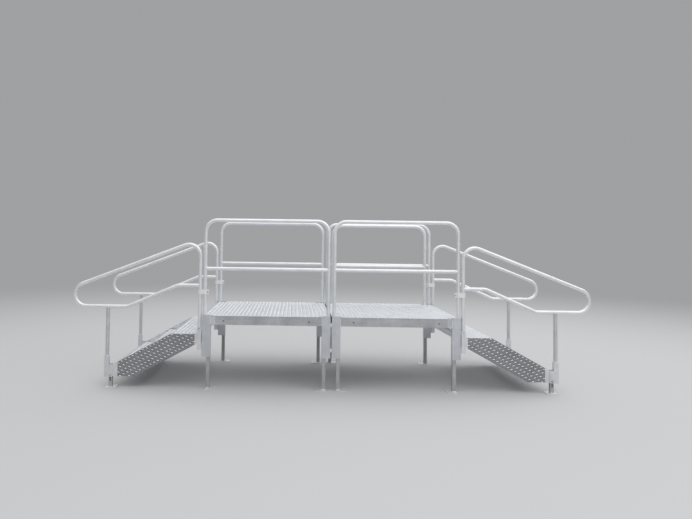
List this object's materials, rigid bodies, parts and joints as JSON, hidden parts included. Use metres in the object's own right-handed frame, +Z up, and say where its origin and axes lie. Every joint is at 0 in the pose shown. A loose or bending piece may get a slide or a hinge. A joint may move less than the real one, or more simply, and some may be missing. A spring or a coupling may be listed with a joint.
{
  "type": "step-over bridge",
  "caption": "Modular aluminium step-over bridge: square tread-plate decks on telescopic legs, bent-tube guard hoops, and a short stair with looped handrails at each end.",
  "frame": {"origin": "on the ground, at the centre of the bridge's plan", "axes": "+X along the bridge towards the right stair, +Y away from the viewer of the picture, +Z up"},
  "size_m": [5.315, 1.39, 1.74],
  "materials": {
    "tread_plate": "mill finish with a raised five-bar tread pattern",
    "extrusion": "mill finish, matt",
    "tube": "mill finish, brushed, smooth"
  },
  "bodies": {
    "root": {"left_deck_plate": "tread_plate", "left_deck_frame": "extrusion", "left_near_outer_housing": "extrusion", "left_near_outer_leg": "tube", "left_near_inner_housing": "extrusion", "left_near_inner_leg": "tube", "left_near_guard": "tube", "left_near_stringer": "tread_plate", "left_near_handrail": "tube", "left_far_outer_housing": "extrusion", "left_far_outer_leg": "tube", "left_far_inner_housing": "extrusion", "left_far_inner_leg": "tube", "left_far_guard": "tube", "left_far_stringer": "tread_plate", "left_far_handrail": "tube", "left_stair_legs": "tube", "left_tread_1": "tread_plate", "left_tread_2": "tread_plate", "left_tread_3": "tread_plate", "right_deck_plate": "tread_plate", "right_deck_frame": "extrusion", "right_near_outer_housing": "extrusion", "right_near_outer_leg": "tube", "right_near_inner_housing": "extrusion", "right_near_inner_leg": "tube", "right_near_guard": "tube", "right_near_stringer": "tread_plate", "right_near_handrail": "tube", "right_far_outer_housing": "extrusion", "right_far_outer_leg": "tube", "right_far_inner_housing": "extrusion", "right_far_inner_leg": "tube", "right_far_guard": "tube", "right_far_stringer": "tread_plate", "right_far_handrail": "tube", "right_stair_legs": "tube", "right_tread_1": "tread_plate", "right_tread_2": "tread_plate", "right_tread_3": "tread_plate", "deck_bearers": "extrusion", "handrail_balusters": "tube", "right_inner_hoop": "tube", "rail_clips": "tube", "module_links": "extrusion"}
  },
  "joints": []
}
